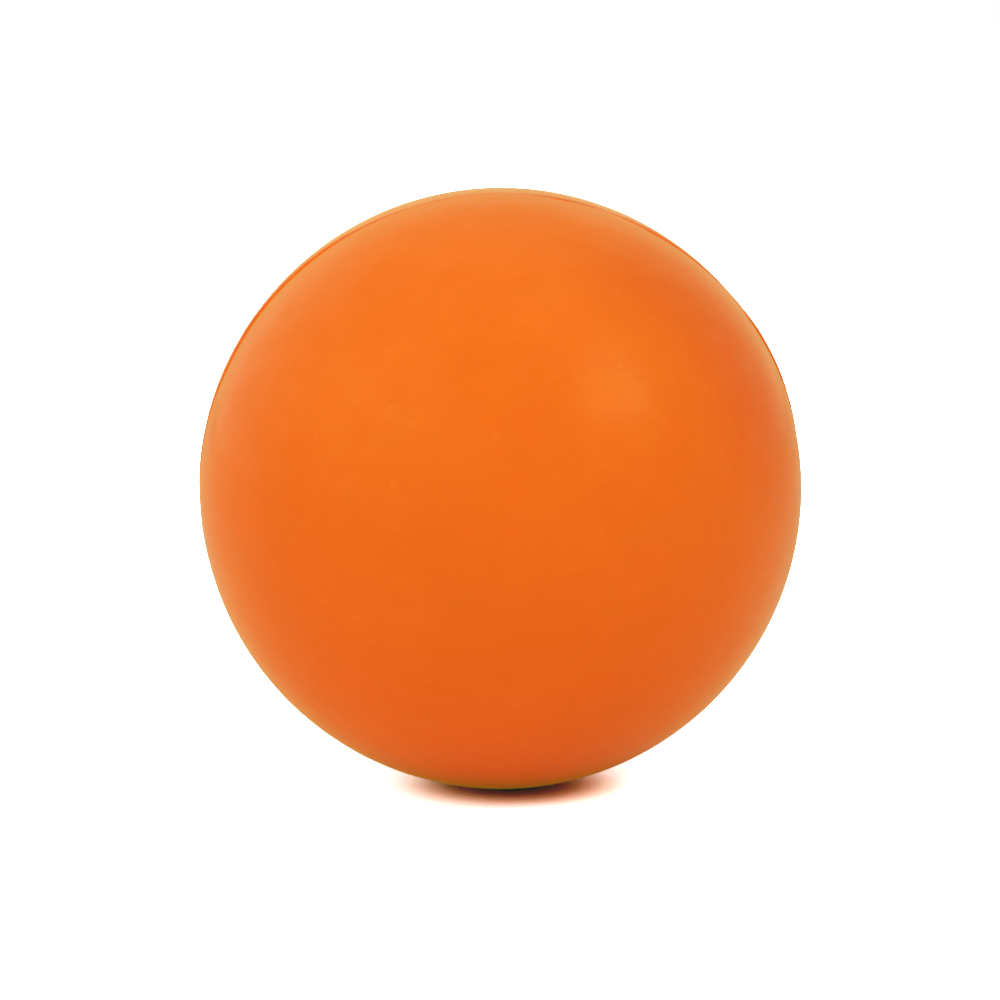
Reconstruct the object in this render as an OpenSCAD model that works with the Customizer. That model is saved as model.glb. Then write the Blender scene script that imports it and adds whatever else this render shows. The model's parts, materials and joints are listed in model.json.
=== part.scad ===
// Lacrosse ball of solid moulded rubber, as it comes from a two-part mould.
// Two half balls meet face to face at the parting plane, and the flash that the
// mould squeezed out there is trimmed down to a low bead round the parting line.
// The origin is the centre of the ball, +Z is up and -Y is the front.

/* [Ball] */
// Diameter of the moulded ball
ball_d = 63.5; // [20:0.1:200]
// How far the mould axis points below level at the front, as the ball lies
parting_lean = 7; // [0:1:45]

/* [Parting bead] */
// Width of the bead where it grows out of the ball, across the parting line
bead_w = 1.2; // [0.8:0.1:3]
// Width of the raw flash at its top, before it is trimmed
flash_top_w = 0.4; // [0.1:0.05:0.7]
// Depth of the bead's root, in the groove that the mould's rounded edges leave
root_d = 0.5; // [0.4:0.1:2]
// Height of the bead above the ball at the middle of each cut
bead_h = 0.14; // [0.1:0.01:0.4]
// Number of straight cuts that the trimmer makes on the way round
trim_cuts = 36; // [24:1:90]
// Distance of the trimmer's axis from the mould axis
trim_shift = 0.05; // [0:0.01:0.08]
// Direction of that shift round the parting line, from the right of the ball
trim_shift_angle = 30; // [0:5:355]

/* [Colours] */
// Colour of the moulded skin
skin_colour = "#F3701B"; // [#F3701B, #F4F4F0, #E8E23A, #7CC242]
// Colour of the freshly cut rubber on the bead
cut_colour = "#EB5E12"; // [#EB5E12, #E9E9E2, #D8CF2C, #69AD35]

/* [Hidden] */
$fn = 240;
ball_r = ball_d / 2;
// Radius to the middle of each cut, and out to the corner between two cuts
cut_r = ball_r + bead_h;
corner_r = cut_r / cos(180 / trim_cuts);
// Radius of the raw flash, which the cuts reach all the way round
flash_r = corner_r + trim_shift;
// Bottom of the groove between the halves, and its edge on the ball's outline,
// as distances from the mould axis and from the parting plane
groove_bottom = [ball_r - root_d, 0];
groove_edge = [sqrt(pow(ball_r, 2) - pow(bead_w / 2, 2)), bead_w / 2];

// Turns a piece from the mould, where the mould axis is up, to how the ball lies
module as_it_lies() {
    rotate([90 + parting_lean, 0, 0]) children();
}

// The same point on the other side of the parting plane
function across(p) = [p[0], -p[1]];

// Half of the ball, flat on the parting plane, with its rim cut back by the groove
module half_ball() {
    beyond = 2 * groove_edge - groove_bottom;
    rotate_extrude() difference() {
        intersection() {
            circle(r = ball_r);
            square(ball_r);
        }
        polygon([groove_bottom, beyond, across(beyond)]);
    }
}

module front_half() {
    color(skin_colour) as_it_lies() half_ball();
}

module rear_half() {
    color(skin_colour) as_it_lies() mirror([0, 0, 1]) half_ball();
}

// Section of the flash: a root that fills the groove between the halves, and two
// sloping sides that rise from the ball's outline to the raw top
module flash_section() {
    top = [flash_r, flash_top_w / 2];
    polygon([groove_bottom, groove_edge, top, across(top), across(groove_edge)]);
}

// Prism that the straight cuts of the trimmer leave standing
module trimmed_prism() {
    rotate([0, 0, trim_shift_angle]) translate([trim_shift, 0, 0])
        linear_extrude(height = 2 * bead_w, center = true)
            polygon([
                for (i = [0 : trim_cuts - 1])
                    corner_r * [cos(i * 360 / trim_cuts), sin(i * 360 / trim_cuts)]
            ]);
}

module parting_bead() {
    color(cut_colour) as_it_lies() intersection() {
        rotate_extrude() flash_section();
        trimmed_prism();
    }
}

front_half();
rear_half();
parting_bead();
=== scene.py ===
"""A solid rubber lacrosse ball on a white studio table.

The ball is two moulded halves and the low bead that trimming leaves along the
parting line. All sizes are in metres. The ball's centre is the origin, +Z is up
and the front, which the camera sees, is towards -Y.
"""

import json
import math
import random

import bpy
import numpy as np
from bpy.props import FloatProperty, FloatVectorProperty, IntProperty, PointerProperty
from mathutils import Matrix, Vector, noise


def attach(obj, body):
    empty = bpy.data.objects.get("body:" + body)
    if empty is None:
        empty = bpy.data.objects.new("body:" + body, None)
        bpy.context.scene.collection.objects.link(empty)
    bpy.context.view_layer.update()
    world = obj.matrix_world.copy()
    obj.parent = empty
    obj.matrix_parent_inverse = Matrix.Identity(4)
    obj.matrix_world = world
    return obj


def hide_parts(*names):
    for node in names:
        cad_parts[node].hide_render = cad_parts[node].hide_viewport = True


bl_info = {
    "name": "Lacrosse Ball",
    "version": (1, 0, 0),
    "blender": (4, 5, 0),
    "location": "View3D > Sidebar > Ball",
    "description": "A solid rubber lacrosse ball with its parting line, and a studio for it",
    "category": "Add Mesh",
}

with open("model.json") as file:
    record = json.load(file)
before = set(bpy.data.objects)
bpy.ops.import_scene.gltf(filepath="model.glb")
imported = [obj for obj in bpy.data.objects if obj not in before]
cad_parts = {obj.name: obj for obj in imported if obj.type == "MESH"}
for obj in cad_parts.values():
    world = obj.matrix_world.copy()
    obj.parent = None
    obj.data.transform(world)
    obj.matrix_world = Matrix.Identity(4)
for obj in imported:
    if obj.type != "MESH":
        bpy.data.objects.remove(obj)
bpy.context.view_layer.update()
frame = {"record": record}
BODY = "root"
MM = 0.001

SEAT = next(m for m in frame["record"]["mounts"] if m["name"] == "round_seat")
BALL_RADIUS = SEAT["dims"]["r_mm"] * MM

# The bead at angles round the parting line, in degrees from the ball's right, where 90
# is the top: angle, height above the ball, and width on the front and on the rear, in mm
BEAD_TABLE = (
    (0, 0.03, 0.6, 0.6), (10, 0.09, 0.6, 0.6), (14, 0.15, 0.6, 0.6), (19, 0.18, 0.55, 0.6),
    (23, 0.22, 0.6, 0.6), (28, 0.22, 0.8, 0.6), (32, 0.21, 1.3, 0.6), (35, 0.16, 1.5, 0.6),
    (38, 0.08, 1.4, 0.6), (42, 0.04, 1.2, 0.6), (46, 0.06, 1.2, 0.6), (50, 0.10, 1.2, 0.6),
    (60, 0.14, 1.3, 0.6), (64, 0.09, 1.2, 0.6), (70, 0.035, 1.0, 0.6), (75, 0.06, 0.9, 0.6),
    (79, 0.09, 1.0, 0.6), (84, 0.04, 0.6, 0.6), (88, 0.02, 0.5, 0.6), (106, 0.03, 0.5, 0.6),
    (112, 0.05, 0.5, 0.7), (117, 0.09, 0.5, 0.9), (122, 0.15, 0.55, 1.2), (127, 0.19, 0.6, 1.2),
    (135, 0.21, 0.7, 1.2), (140, 0.21, 0.65, 1.0), (145, 0.22, 0.8, 0.8), (150, 0.19, 1.2, 0.6),
    (155, 0.16, 1.5, 0.7), (158, 0.14, 1.2, 0.7), (162, 0.13, 0.65, 0.6),
    (168, 0.11, 0.6, 0.6), (175, 0.12, 0.6, 0.6), (182, 0.06, 0.6, 0.6), (194, 0.10, 0.6, 0.7),
    (208, 0.13, 0.65, 0.6), (222, 0.09, 0.6, 0.55), (240, 0.15, 0.6, 0.7), (262, 0.06, 0.5, 0.6),
    (281, 0.10, 0.65, 0.6), (300, 0.14, 0.7, 0.6), (318, 0.08, 0.55, 0.6), (338, 0.12, 0.6, 0.7),
    (351, 0.06, 0.6, 0.6),
)

# Small round marks where air was trapped in the mould: place on the skin and radius, in mm
MARKS = (
    (10.4, -19.2, 23.0, 0.42), (-10.4, -28.0, 10.8, 0.45), (20.0, -16.8, 18.0, 0.34),
    (-12.4, -26.6, 12.1, 0.50), (-12.3, -28.8, 5.1, 0.42), (21.3, -22.7, -6.2, 0.38),
    (-19.9, -23.2, 8.7, 0.45), (10.1, -25.5, 16.0, 0.40), (-2.3, -30.1, 9.8, 0.38),
    (-16.1, -25.9, -8.7, 0.55), (-0.3, -26.3, -17.7, 0.55),
)

# Painted shade: zones of a deeper orange on the upper right and at the bottom by the foot:
# place and radius in mm, and share of the cut rubber's colour at the middle, which is full above 1
PAINTED_SHADE_ZONES = (
    (25.9, -14.9, 10.8, 14.0, 1.00), (20.1, -13.0, 20.8, 14.0, 0.75),
    (11.7, -16.2, 24.7, 9.0, 0.30), (-0.6, -9.5, -30.3, 15.0, 1.20),
)

# Painted light: paler zones low on the left and the right, where the rim is lit brighter: place and radius
# in mm, and share of the dust's colour
PAINTED_LIGHT_ZONES = (
    (-28.5, -11.3, -8.9, 13.0, 0.08), (26.9, -14.7, -8.2, 11.0, 0.07),
)

# Reliefs of the skin, in mm: the finest grain, and the depth of marks, specks and pinholes
GRAIN_RELIEF = 0.006
MARK_DEPTH = 0.025

# Refractive index of the thin skin of bloom that gleams at the very edge of the ball
GLEAM_INDEX = 1.12

# The bead's cut face, in mm: the height above the skin where the cut's colour is full, the
# height of the drag marks, and the heights above the ball's centre over which the cut's colour
# grows stronger, on the right and on both sides
CUT_FROM = 0.03
DRAG_RELIEF = 0.03
CUT_STRONG_RIGHT = (13.0, 16.5)
CUT_STRONG_SIDES = (9.5, 14.5)

# The bead's shoulder, from its foot inwards: offset from the edge in shoulder widths, and
# share of the bead's height. Then how far the edge lies inside the bead's width, in shoulder
# widths, and how deep the foot goes below the skin, as a share of the height
SHOULDER_PROFILE = (
    (0.35, 0.12), (0.0, 0.5), (-0.5, 0.85), (-1.0, 0.97),
)
TOP_INSET = 0.4
FOOT_DEPTH = 0.05

# Rings of faces over which the skin's unevenness fades out towards the rim of a half
FADE_RINGS = 6

# Round soft lamps: name, direction from the ball, distance and diameter in metres, and
# brightness against a white surround of 1
LAMPS = (
    ("key", (0.60, -0.47, 0.64), 1.0, 0.51, 3.65),
    ("left", (-0.68, -0.33, 0.66), 1.0, 0.77, 0.62),
    ("top", (0.00, -0.15, 1.00), 1.0, 1.4, 0.43),
    ("front_left", (-0.65, -0.70, 0.30), 1.0, 1.2, 0.77),
    ("back_left", (-0.80, 0.50, 0.35), 1.0, 1.2, 0.40),
)

# How the camera sees the floor, for each channel: a painted shadow that deepens the real one,
# as the exposure at the ball's foot and the distance from it, in ball radii, where it starts to
# rise, then the overexposed white and the distance where that is reached, measured on an oval.
FLOOR_SHADOW_AND_EXPOSURE = {
    "Red": (0.25, 0.011, 3.16, 0.262),
    "Green": (0.55, 0.130, 5.06, 0.339),
    "Blue": (0.40, 0.165, 5.12, 0.349),
}
OVAL_SHIFT = (-0.030, 0.062, 0.0)
OVAL_STRETCH = (0.844, 1.0, 1.0)

# Colour of the light that the floor throws back on the ball: distances over which a painted shadow
# rises from none at the foot, and over which a painted orange glow by the ball turns to plain
FLOOR_PAINTED_SHADOW = (0.1, 0.45)
FLOOR_PLAIN = (0.2, 0.7)
FLOOR_PAINTED_GLOW = (1.0, 0.3, 0.8, 1.0)


class BallSizes(bpy.types.PropertyGroup):
    """Sizes of the moulded ball and of the unevenness of its skin."""

    radius: FloatProperty(
        name="Radius", description="Radius of the moulded ball",
        default=BALL_RADIUS, unit="LENGTH", precision=5)
    lean: FloatProperty(
        name="Lean", description="How far the mould axis points below level at the front",
        default=math.radians(7), subtype="ANGLE")
    rings: IntProperty(
        name="Rings", description="Rings of faces between the pole of a half and its rim",
        default=144, min=8, max=150)
    swell_size: FloatProperty(
        name="Swell size", description="Distance between the slow rises and falls of the skin",
        default=13 * MM, unit="LENGTH", precision=5)
    swell_depth: FloatProperty(
        name="Swell depth", description="Depth of the slow rises and falls",
        default=0.03 * MM, unit="LENGTH", precision=6)
    peel_size: FloatProperty(
        name="Peel size", description="Distance between the fine ripples of the moulded skin",
        default=1.9 * MM, unit="LENGTH", precision=5)
    peel_depth: FloatProperty(
        name="Peel depth", description="Depth of the fine ripples",
        default=0.008 * MM, unit="LENGTH", precision=6)
    dents: IntProperty(
        name="Dents", description="Number of small dents and trapped-air marks on each half",
        default=46, min=0, max=500)
    dent_size: FloatProperty(
        name="Dent size", description="Radius of the largest dents",
        default=1.1 * MM, unit="LENGTH", precision=5)
    dent_depth: FloatProperty(
        name="Dent depth", description="Depth of the largest dents",
        default=0.03 * MM, unit="LENGTH", precision=6)


class BeadSizes(bpy.types.PropertyGroup):
    """Sizes of the trimmed bead and of the groove that it fills."""

    width: FloatProperty(
        name="Groove width", description="Width of the groove at the skin, across the parting line",
        default=1.2 * MM, unit="LENGTH", precision=5)
    shoulder: FloatProperty(
        name="Shoulder", description="Width of the rounded side of the bead",
        default=0.25 * MM, unit="LENGTH", precision=5)
    root_depth: FloatProperty(
        name="Root depth", description="Depth of the groove that the bead's root fills",
        default=0.5 * MM, unit="LENGTH", precision=5)
    stations: IntProperty(
        name="Stations", description="Sections of the bead on the way round",
        default=1440, min=90, max=5000)
    wander: FloatProperty(
        name="Wander", description="How far the bead's edges wander from a true ring",
        default=0.12 * MM, unit="LENGTH", precision=6)
    nick_depth: FloatProperty(
        name="Nick depth", description="Depth of the marks that the trimming leaves on top",
        default=0.02 * MM, unit="LENGTH", precision=6)


class RubberLook(bpy.types.PropertyGroup):
    """Colours and finish of the rubber."""

    skin: FloatVectorProperty(
        name="Skin", description="Colour of the moulded skin",
        subtype="COLOR", size=3, min=0, max=1, default=(0.89, 0.160, 0.009))
    cut: FloatVectorProperty(
        name="Cut rubber", description="Colour of the rubber where the flash was cut",
        subtype="COLOR", size=3, min=0, max=1, default=(0.83, 0.112, 0.006))
    # This colour is also used for painted light in paler zones towards the rim
    dust_and_light: FloatVectorProperty(
        name="Dust", description="Colour of the pale dust and bloom on the skin",
        subtype="COLOR", size=3, min=0, max=1, default=(0.96, 0.45, 0.08))
    haze: FloatVectorProperty(
        name="Haze", description="Tint of the soft sheen towards the outline",
        subtype="COLOR", size=3, min=0, max=1, default=(0.92, 0.74, 0.045))
    haze_weight: FloatProperty(
        name="Haze weight", description="Strength of the soft sheen",
        default=0.75, min=0, max=1)
    haze_roughness: FloatProperty(
        name="Haze roughness", description="How wide the soft sheen spreads from the outline",
        default=0.36, min=0, max=1)
    roughness: FloatProperty(
        name="Roughness", description="Roughness of the matte skin",
        default=0.668, min=0, max=1)
    shine: FloatProperty(
        name="Shine", description="Specular level of the matte skin",
        default=0.02, min=0, max=1)
    polish: FloatProperty(
        name="Polish", description="Share of the skin that the mould's wall left polished",
        default=0.175, min=0, max=1)
    polish_roughness: FloatProperty(
        name="Polish roughness", description="Roughness of the polished share",
        default=0.32, min=0, max=1)
    gleam: FloatProperty(
        name="Gleam", description="Weight of the gleam at the very edge of the ball",
        default=0.40, min=0, max=1)
    gleam_roughness: FloatProperty(
        name="Gleam roughness", description="Roughness of that gleam",
        default=0.12, min=0, max=1)
    shine_tint: FloatVectorProperty(
        name="Shine tint", description="Tint of the reflections where the rubber faces the viewer",
        subtype="COLOR", size=3, min=0, max=1, default=(1.0, 0.90, 0.08))


class StudioSetup(bpy.types.PropertyGroup):
    """Camera, floor and lamps."""

    distance: FloatProperty(
        name="Distance", description="Distance of the camera from the ball's centre",
        default=12 * BALL_RADIUS, unit="LENGTH")
    azimuth: FloatProperty(
        name="Azimuth", description="Direction in which the camera looks, from +Y to -X",
        default=math.radians(-3.5), subtype="ANGLE")
    elevation: FloatProperty(
        name="Elevation", description="Height of the camera above level",
        default=math.radians(8.8), subtype="ANGLE")
    pixels: IntProperty(
        name="Picture width", description="Width and height of the photograph in pixels",
        default=1000, subtype="PIXEL")
    ball_pixels: FloatProperty(
        name="Ball in the picture", description="Radius of the ball's outline in pixels",
        default=300.95, subtype="PIXEL")
    across_pixels: FloatProperty(
        name="Across", description="How far the ball's centre is right of the picture's, in pixels",
        default=0.84, subtype="PIXEL")
    up_pixels: FloatProperty(
        name="Up", description="How far the ball's centre is above the picture's, in pixels",
        default=11.7, subtype="PIXEL")
    floor_reach: FloatProperty(
        name="Floor", description="Half the width of the floor",
        default=3.0, unit="LENGTH")
    floor_colour: FloatVectorProperty(
        name="Floor colour", description="Colour of the pale floor, which is overexposed in the picture",
        subtype="COLOR", size=3, min=0, max=1, default=(0.94, 0.74, 0.93))
    surround: FloatProperty(
        name="Surround", description="Strength of the white surround on the ball",
        default=0.485, min=0, max=1)


class Wire:
    """A socket of a shader. Python's operators on it add Math nodes."""

    def __init__(self, recipe, socket):
        self.recipe = recipe
        self.socket = socket

    def _maths(self, operation, *values):
        return self.recipe.add("ShaderNodeMath", {"operation": operation}, dict(enumerate(values)))["Value"]

    def __add__(self, other):
        return self._maths("ADD", self, other)

    def __sub__(self, other):
        return self._maths("SUBTRACT", self, other)

    def __rsub__(self, other):
        return self._maths("SUBTRACT", other, self)

    def __mul__(self, other):
        return self._maths("MULTIPLY", self, other)

    __radd__ = __add__
    __rmul__ = __mul__

    def step(self, low, high):
        """0 below low, 1 above high and smooth between them, also where high is below low."""
        settings = {"interpolation_type": "SMOOTHSTEP"}
        values = {"Value": self, "From Min": low, "From Max": high}
        return self.recipe.add("ShaderNodeMapRange", settings, values)["Result"]


class Recipe:
    """A node tree that is being filled."""

    def __init__(self, owner):
        owner.use_nodes = True
        self.tree = owner.node_tree
        self.tree.nodes.clear()

    def add(self, kind, settings=None, values=None):
        """Adds a node, with its settings first, and gives its outputs by name."""
        node = self.tree.nodes.new(kind)
        for name, setting in (settings or {}).items():
            setattr(node, name, setting)
        for key, value in (values or {}).items():
            socket = node.inputs[key] if isinstance(key, int) else self.find(node.inputs, key)
            if isinstance(value, Wire):
                self.tree.links.new(value.socket, socket)
            else:
                socket.default_value = value
        return {key: Wire(self, s) for s in node.outputs for key in (s.name, s.identifier)}

    @staticmethod
    def find(sockets, key):
        return next(s for s in sockets if key in (s.identifier, s.name) and s.enabled)

    def blend(self, share, low, high):
        """The colour low where share is 0 and high where it is 1."""
        values = {"Factor_Float": share, "A_Color": low, "B_Color": high}
        return self.add("ShaderNodeMix", {"data_type": "RGBA"}, values)["Result_Color"]

    def scaled(self, vector, factor):
        """A vector or colour times a number."""
        values = {0: vector, "Scale": factor}
        return self.add("ShaderNodeVectorMath", {"operation": "SCALE"}, values)["Vector"]

    def bumped(self, height):
        """Normal of a surface with that relief in mm."""
        values = {"Strength": 1.0, "Distance": MM, "Height": height}
        return self.add("ShaderNodeBump", None, values)["Normal"]

    def near(self, place, centre, radius):
        """1 at a point and 0 from that radius on."""
        away = self.add("ShaderNodeVectorMath", {"operation": "DISTANCE"}, {0: place, 1: tuple(centre)})
        return away["Value"].step(radius, 0.0)

    def noise(self, place, size, detail=2.0, roughness=0.5):
        """Noise about 0, whose features are size apart."""
        values = {"Vector": place, "Scale": 1 / size, "Detail": detail, "Roughness": roughness}
        return self.add("ShaderNodeTexNoise", None, values)["Fac"] - 0.5


def opaque(colour):
    """A colour property as the four numbers that a colour socket takes."""
    return (*colour, 1.0)


def rubber_material(name, look, trimmed):
    """Moulded rubber, partly polished. Where trimmed is True, what stands above the ball was cut."""
    material = bpy.data.materials.new(name)
    recipe = Recipe(material)
    place = recipe.scaled(recipe.add("ShaderNodeTexCoord")["Object"], 1 / MM)
    cloud = recipe.noise(place, 14.0, 3.0)
    blotch = recipe.noise(place, 3.0, 4.0, 0.6)
    grain = recipe.noise(place, 0.5, 2.0)
    tone = 1.0 + cloud * 0.09 + blotch * 0.08 + grain * 0.06
    colour, relief = skin_pattern(recipe, place, look, cloud, blotch)
    if trimmed:
        colour, relief = cut_pattern(recipe, place, look, colour, relief)
    values = {
        "Base Color": recipe.scaled(colour, tone),
        "Roughness": look.roughness + cloud * 0.08 + grain * 0.10,
        "Normal": recipe.bumped(relief + grain * GRAIN_RELIEF),
        "Specular IOR Level": look.shine,
        "Specular Tint": opaque(look.shine_tint),
        "Sheen Weight": look.haze_weight,
        "Sheen Roughness": look.haze_roughness,
        "Sheen Tint": opaque(look.haze),
        "Coat Weight": look.gleam,
        "Coat Roughness": look.gleam_roughness,
        "Coat IOR": GLEAM_INDEX,
    }
    matte = recipe.add("ShaderNodeBsdfPrincipled", None, values)["BSDF"]
    polished = recipe.add("ShaderNodeBsdfPrincipled", None, {
        **values, "Roughness": look.polish_roughness, "Specular IOR Level": 1.0})["BSDF"]
    wiped = recipe.add("ShaderNodeMapping", None, {
        "Vector": place, "Rotation": (0.0, math.radians(22), 0.0), "Scale": (0.3, 1.0, 1.0)})["Vector"]
    share = look.polish * (1.0 + recipe.noise(wiped, 2.4, 3.0, 0.6) * 2.0)
    surface = recipe.add("ShaderNodeMixShader", None, {0: share, 1: matte, 2: polished})["Shader"]
    recipe.add("ShaderNodeOutputMaterial", None, {"Surface": surface})
    return material


def skin_pattern(recipe, place, look, cloud, blotch):
    """Colour and relief, in mm, of the moulded skin with its marks, specks and pinholes, and zones of
    painted light and painted shade.
    """
    colour = recipe.blend(0.06 + blotch * 0.25, opaque(look.skin), opaque(look.cut))
    bloom = (cloud + blotch * 0.5).step(-0.05, 0.25) * 0.02
    colour = recipe.blend(bloom, colour, opaque(look.dust_and_light))
    # Painted light: paler zones, in the dust's pale colour, where the rim is lit brighter
    painted_light = sum(recipe.near(place, at, radius) * share for *at, radius, share in PAINTED_LIGHT_ZONES)
    colour = recipe.blend(painted_light, colour, opaque(look.dust_and_light))
    # Painted shade: deeper orange zones, in the cut rubber's colour
    painted_shade = sum(recipe.near(place, at, radius) * share for *at, radius, share in PAINTED_SHADE_ZONES)
    colour = recipe.blend(painted_shade, colour, opaque(look.cut))
    mark = sum(recipe.near(place, at, radius * 1.3) for *at, radius in MARKS)
    speck = spots(recipe, place, 4.2, 0.28)
    pinhole = spots(recipe, recipe.add("ShaderNodeMapping", None, {
        "Vector": place, "Location": (17.0, 5.0, 29.0)})["Vector"], 3.4, 0.2)
    colour = recipe.blend(mark * 0.08 + speck * 0.10, colour, opaque(look.dust_and_light))
    colour = recipe.blend(pinhole * 0.25, colour, opaque(look.cut))
    return colour, (mark + speck + pinhole) * -MARK_DEPTH


def cut_pattern(recipe, place, look, colour, relief):
    """Colour and relief, in mm, of the bead: cut rubber where it stands proud of the ball."""
    height = recipe.add("ShaderNodeVectorMath", {"operation": "LENGTH"}, {0: place})["Value"]
    axes = recipe.add("ShaderNodeSeparateXYZ", None, {0: place})
    ragged = recipe.noise(place, 1.3, 2.0, 0.6).step(-0.16, 0.06)
    right = axes["X"].step(-8.0, 8.0) * axes["Z"].step(*CUT_STRONG_RIGHT)
    cut_strength = (0.2 + ragged * 0.4 + right * 0.4) * (0.4 + axes["Z"].step(*CUT_STRONG_SIDES) * 0.6)
    share = (height - BALL_RADIUS / MM).step(0.0, CUT_FROM) * cut_strength
    drag = recipe.noise(place, 0.9, 3.0, 0.7)
    cut = recipe.scaled(tuple(look.cut), 1.0 + drag * 0.5)
    return recipe.blend(share, colour, cut), relief + share * drag * DRAG_RELIEF


def spots(recipe, place, spacing, radius):
    """1 inside small round spots of up to that radius, which lie about spacing apart in space."""
    cells = recipe.add("ShaderNodeTexVoronoi", None, {"Vector": place, "Scale": 1 / spacing})
    size = recipe.add("ShaderNodeSeparateColor", None, {0: cells["Color"]})["Red"] * radius
    return (size - cells["Distance"] * spacing).step(0.0, radius / 3)


def piece_from(name, points, faces, material, node):
    """A piece of the ball as an object that stands for a CAD node."""
    mesh = bpy.data.meshes.new(name)
    mesh.from_pydata([tuple(p) for p in points], [], faces)
    mesh.validate()
    mesh.polygons.foreach_set("use_smooth", [True] * len(mesh.polygons))
    mesh.set_sharp_from_angle(angle=math.radians(35))
    mesh.materials.append(material)
    piece = bpy.data.objects.new(name, mesh)
    bpy.context.scene.collection.objects.link(piece)
    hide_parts(node)
    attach(piece, BODY)
    return piece


def as_it_lies(points, lean):
    """Points in the mould's frame, with the mould axis up, turned to how the ball lies."""
    turn = np.array(Matrix.Rotation(math.radians(90) + lean, 3, "X"))
    return points @ turn.T


def square_rings(rings):
    """Ring number and angle of each point of a square grid that is bent into a round one."""
    across, along = np.meshgrid(np.arange(-rings, rings + 1), np.arange(-rings, rings + 1), indexing="ij")
    ring = np.maximum(abs(across), abs(along))
    wide = abs(across) >= abs(along)
    main = np.where(wide, across, along)
    share = np.where(wide, along, across) / np.where(main == 0, 1, main) * math.pi / 4
    angle = np.where(wide, share, math.pi / 2 - share) + np.where(main < 0, math.pi, 0)
    return ring.ravel(), angle.ravel() % (2 * math.pi)


def skin_relief(points, ball, seed, fade):
    """Depth of the skin's unevenness below the true ball at each point."""
    depth = np.empty(len(points))
    for i, point in enumerate(points):
        at = Vector(point)
        swell = 0.5 + 0.5 * noise.fractal(at / ball.swell_size, 0.8, 2.0, 2)
        peel = 0.5 + 0.5 * noise.noise(at / ball.peel_size)
        depth[i] = min(1, max(0, swell)) * ball.swell_depth + peel * ball.peel_depth
    draw = random.Random(seed)
    for _ in range(ball.dents):
        centre = np.array([draw.gauss(0, 1) for _ in range(3)])
        centre *= ball.radius / np.linalg.norm(centre)
        share = draw.uniform(0.35, 1.0)
        away = np.linalg.norm(points - centre, axis=1) / (ball.dent_size * share)
        depth += ball.dent_depth * share * np.clip(1 - away ** 2, 0, 1) ** 2
    return depth * fade


def half_ball(ball, bead, front):
    """Points and faces of one half: skin, the side of the groove and the parting face."""
    rings = ball.rings
    ring, angle = square_rings(rings)
    edge = math.asin(bead.width / 2 / ball.radius)
    tilt = (math.pi / 2 - edge) * ring / rings
    side = 1 if front else -1
    ways = np.stack([np.sin(tilt) * np.cos(angle), np.sin(tilt) * np.sin(angle), side * np.cos(tilt)], 1)
    skin = as_it_lies(ways * ball.radius, ball.lean)
    fade = np.clip((rings - ring) / FADE_RINGS, 0, 1)
    depth = skin_relief(skin, ball, 5 if front else 11, fade)
    skin *= (1 - depth / ball.radius)[:, None]

    count = 2 * rings + 1
    grid = np.arange(count * count).reshape(count, count)
    quads = np.stack([grid[:-1, :-1], grid[1:, :-1], grid[1:, 1:], grid[:-1, 1:]], 2).reshape(-1, 4)
    rim = np.flatnonzero(ring == rings)
    rim = rim[np.argsort(angle[rim])]
    floor_r = ball.radius - bead.root_depth
    bottom = as_it_lies(np.stack(
        [np.cos(angle[rim]) * floor_r, np.sin(angle[rim]) * floor_r, np.zeros(len(rim))], 1), ball.lean)
    points = np.vstack([skin, bottom, np.zeros((1, 3))])
    low = len(skin) + np.arange(len(rim))
    centre = len(points) - 1
    faces = [tuple(q) for q in quads.tolist()]
    for i in range(len(rim)):
        j = (i + 1) % len(rim)
        faces.append((int(rim[i]), int(low[i]), int(low[j]), int(rim[j])))
        faces.append((int(low[i]), centre, int(low[j])))
    if not front:
        faces = [f[::-1] for f in faces]
    return points, faces


def bead_section(degrees):
    """Height, front width and rear width at an angle round the parting line, in metres."""
    after = next((i for i, row in enumerate(BEAD_TABLE) if row[0] > degrees), 0)
    low, high = BEAD_TABLE[after - 1], BEAD_TABLE[after]
    share = ((degrees - low[0]) % 360) / ((high[0] - low[0]) % 360)
    share = share * share * (3 - 2 * share)
    return [(a + (b - a) * share) * MM for a, b in zip(low[1:], high[1:])]


def parting_bead(ball, bead):
    """Points and faces of the trimmed flash: a ring whose section changes on the way round."""
    points = []
    for i in range(bead.stations):
        angle = 2 * math.pi * i / bead.stations
        way = Vector((math.cos(angle), math.sin(angle), 0))
        height, front, rear = bead_section(math.degrees(angle))
        front += noise.noise(way * 9) * bead.wander
        rear += noise.noise(way * 9 + Vector((0, 0, 3))) * bead.wander
        height = max(0.015 * MM, height + noise.noise(way * 60) * min(bead.nick_depth, height / 2))
        section = [(ball.radius - bead.root_depth, 0.0)]
        for side, width in ((1, max(front, bead.width / 2)), (-1, max(rear, bead.width / 2))):
            top = (front if side > 0 else rear) - bead.shoulder * TOP_INSET
            half = []
            slope = [(top + bead.shoulder * shift, up) for shift, up in SHOULDER_PROFILE]
            for across, up in ((width, -FOOT_DEPTH), *slope, (top * 0.3, 1.0)):
                skin = math.sqrt(ball.radius ** 2 - across ** 2)
                half.append((skin + height * up, side * across))
            section += half if side > 0 else half[::-1]
        points += [(r * way.x, r * way.y, z) for r, z in section]
    width = len(section)
    faces = []
    for i in range(bead.stations):
        here, there = i * width, (i + 1) % bead.stations * width
        for k in range(width):
            m = (k + 1) % width
            faces.append((here + k, here + m, there + m, there + k))
    return as_it_lies(np.array(points), ball.lean), faces


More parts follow.
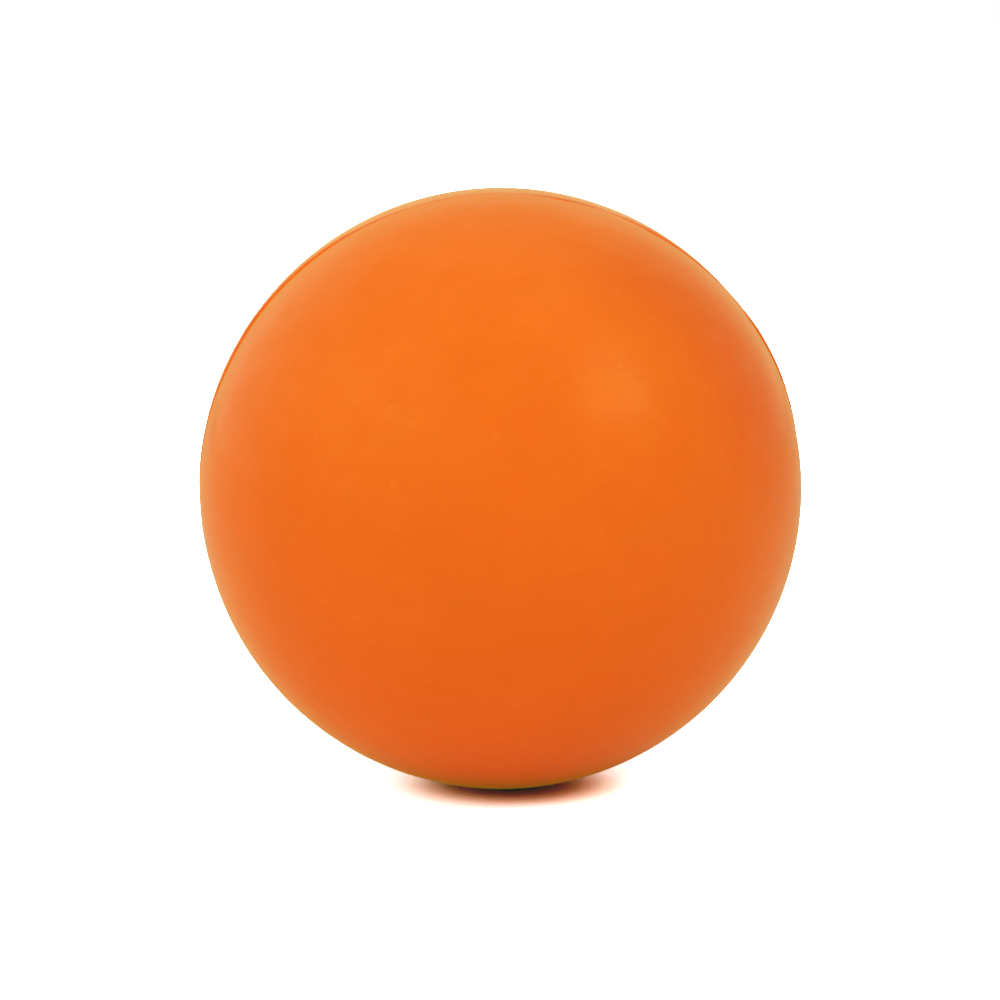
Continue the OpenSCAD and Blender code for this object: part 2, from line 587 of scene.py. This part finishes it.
class MESH_OT_ball_halves(bpy.types.Operator):
    """Add the two moulded halves of the ball"""

    bl_idname = "mesh.ball_halves"
    bl_label = "Moulded Halves"
    bl_options = {"REGISTER", "UNDO"}

    def execute(self, context):
        scene = context.scene
        material = rubber_material("moulded_rubber", scene.rubber_look, False)
        for name, front in (("front_half", True), ("rear_half", False)):
            points, faces = half_ball(scene.ball_sizes, scene.bead_sizes, front)
            piece_from(name + "_skin", points, faces, material, name)
        return {"FINISHED"}


class MESH_OT_parting_bead(bpy.types.Operator):
    """Add the trimmed bead of flash along the parting line"""

    bl_idname = "mesh.parting_bead"
    bl_label = "Parting Bead"
    bl_options = {"REGISTER", "UNDO"}

    def execute(self, context):
        scene = context.scene
        material = rubber_material("trimmed_rubber", scene.rubber_look, True)
        points, faces = parting_bead(scene.ball_sizes, scene.bead_sizes)
        piece_from("parting_bead_trim", points, faces, material, "parting_bead")
        return {"FINISHED"}


def floor_material(studio):
    """Pale floor, which the camera sees overexposed, apart from the shadow at the ball's foot, which a
    painted shadow deepens; the light it throws back has a painted shadow and glow by the ball.
    """
    material = bpy.data.materials.new("studio_floor")
    recipe = Recipe(material)
    place = recipe.scaled(recipe.add("ShaderNodeTexCoord")["Object"], 1 / BALL_RADIUS)
    oval = recipe.add("ShaderNodeMapping", None, {
        "Vector": place, "Location": OVAL_SHIFT, "Scale": OVAL_STRETCH})["Vector"]
    away = recipe.add("ShaderNodeVectorMath", {"operation": "LENGTH"}, {0: oval})["Value"]
    # Painted shadow: the camera sees the floor darker and browner towards the ball's foot
    shadow_and_exposure = {}
    for channel, (low, start, high, end) in FLOOR_SHADOW_AND_EXPOSURE.items():
        shadow_and_exposure[channel] = low + (high - low) * away.step(start, end)
    shown = recipe.add("ShaderNodeCombineColor", None, shadow_and_exposure)["Color"]
    # Painted glow by the ball in the light that the floor throws back
    tint = recipe.blend(away.step(*FLOOR_PLAIN), FLOOR_PAINTED_GLOW, opaque(studio.floor_colour))
    # Painted shadow at the foot in that light
    plain = recipe.scaled(tint, away.step(*FLOOR_PAINTED_SHADOW))
    seen = recipe.add("ShaderNodeLightPath")["Is Camera Ray"]
    colour = recipe.blend(seen, plain, shown)
    surface = recipe.add("ShaderNodeBsdfDiffuse", None, {"Color": colour})["BSDF"]
    recipe.add("ShaderNodeOutputMaterial", None, {"Surface": surface})
    return material


def white_world(studio):
    """White surround: full white to the camera and in gloss, and the studio's strength elsewhere."""
    world = bpy.data.worlds.new("studio_surround")
    recipe = Recipe(world)
    rays = recipe.add("ShaderNodeLightPath")
    plain = rays["Is Camera Ray"] + rays["Is Glossy Ray"] + rays["Is Transmission Ray"]
    shown = recipe.add("ShaderNodeMath", {"operation": "MINIMUM"}, {0: plain, 1: 1.0})["Value"]
    strength = studio.surround + shown * (1.0 - studio.surround)
    values = {"Color": (1, 1, 1, 1), "Strength": strength}
    back = recipe.add("ShaderNodeBackground", None, values)["Background"]
    recipe.add("ShaderNodeOutputWorld", None, {"Surface": back})
    bpy.context.scene.world = world


def aim(holder, target):
    """Turns an object so that it looks at a point."""
    holder.rotation_euler = (Vector(target) - holder.location).to_track_quat("-Z", "Y").to_euler()


def make_camera(studio, ball):
    """Camera at the photograph's angle, with the ball's outline where the photograph has it."""
    ratio = studio.distance / ball.radius
    focal_pixels = studio.ball_pixels * math.sqrt(ratio ** 2 - 1)
    data = bpy.data.cameras.new("studio_camera")
    data.sensor_width = 36.0
    data.lens = focal_pixels * data.sensor_width / studio.pixels
    camera = bpy.data.objects.new("studio_camera", data)
    bpy.context.scene.collection.objects.link(camera)
    a, e = studio.azimuth, studio.elevation
    back = Vector((math.sin(a) * math.cos(e), -math.cos(a) * math.cos(e), math.sin(e)))
    right = Vector((math.cos(a), math.sin(a), 0))
    up = right.cross(-back)
    camera.location = back * studio.distance
    pixel = studio.distance / focal_pixels
    aim(camera, -right * studio.across_pixels * pixel - up * studio.up_pixels * pixel)
    bpy.context.scene.camera = camera


def make_lamps():
    """Round soft lamps about the ball. A disc's power is its brightness times pi times its area."""
    for name, way, distance, diameter, brightness in LAMPS:
        data = bpy.data.lights.new("studio_" + name, "AREA")
        data.shape = "DISK"
        data.size = diameter
        data.energy = brightness * math.pi * math.pi * (diameter / 2) ** 2
        lamp = bpy.data.objects.new("studio_" + name, data)
        lamp.location = Vector(way).normalized() * distance
        aim(lamp, (0, 0, 0))
        bpy.context.scene.collection.objects.link(lamp)


class SCENE_OT_ball_studio(bpy.types.Operator):
    """Add the floor, the white surround, the lamps and the camera"""

    bl_idname = "scene.ball_studio"
    bl_label = "Studio"
    bl_options = {"REGISTER", "UNDO"}

    def execute(self, context):
        scene = context.scene
        studio, ball = scene.studio_setup, scene.ball_sizes
        scene.view_settings.view_transform = "Standard"
        reach = studio.floor_reach
        mesh = bpy.data.meshes.new("studio_floor")
        corners = [(-reach, -reach, 0), (reach, -reach, 0), (reach, reach, 0), (-reach, reach, 0)]
        mesh.from_pydata(corners, [], [(0, 1, 2, 3)])
        mesh.materials.append(floor_material(studio))
        floor = bpy.data.objects.new("studio_floor", mesh)
        floor.location.z = -ball.radius
        scene.collection.objects.link(floor)
        white_world(studio)
        make_lamps()
        make_camera(studio, ball)
        return {"FINISHED"}


class VIEW3D_PT_ball(bpy.types.Panel):
    """Lists the ball's sizes, colours and operators"""

    bl_idname = "VIEW3D_PT_ball"
    bl_label = "Lacrosse Ball"
    bl_space_type = "VIEW_3D"
    bl_region_type = "UI"
    bl_category = "Ball"

    def draw(self, context):
        for group in GROUPS:
            box = self.layout.box()
            settings = getattr(context.scene, group)
            for name in settings.__annotations__:
                box.prop(settings, name)
        for operator in OPERATORS:
            self.layout.operator(operator.bl_idname)


GROUPS = {
    "ball_sizes": BallSizes,
    "bead_sizes": BeadSizes,
    "rubber_look": RubberLook,
    "studio_setup": StudioSetup,
}
OPERATORS = (MESH_OT_ball_halves, MESH_OT_parting_bead, SCENE_OT_ball_studio)
CLASSES = (*GROUPS.values(), *OPERATORS, VIEW3D_PT_ball)


def register():
    for cls in CLASSES:
        bpy.utils.register_class(cls)
    for name, group in GROUPS.items():
        setattr(bpy.types.Scene, name, PointerProperty(type=group))


def unregister():
    for name in GROUPS:
        delattr(bpy.types.Scene, name)
    for cls in reversed(CLASSES):
        bpy.utils.unregister_class(cls)


def main():
    """Makes the ball and the studio."""
    register()
    bpy.ops.mesh.ball_halves()
    bpy.ops.mesh.parting_bead()
    bpy.ops.scene.ball_studio()
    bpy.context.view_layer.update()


if __name__ == "__main__":
    main()
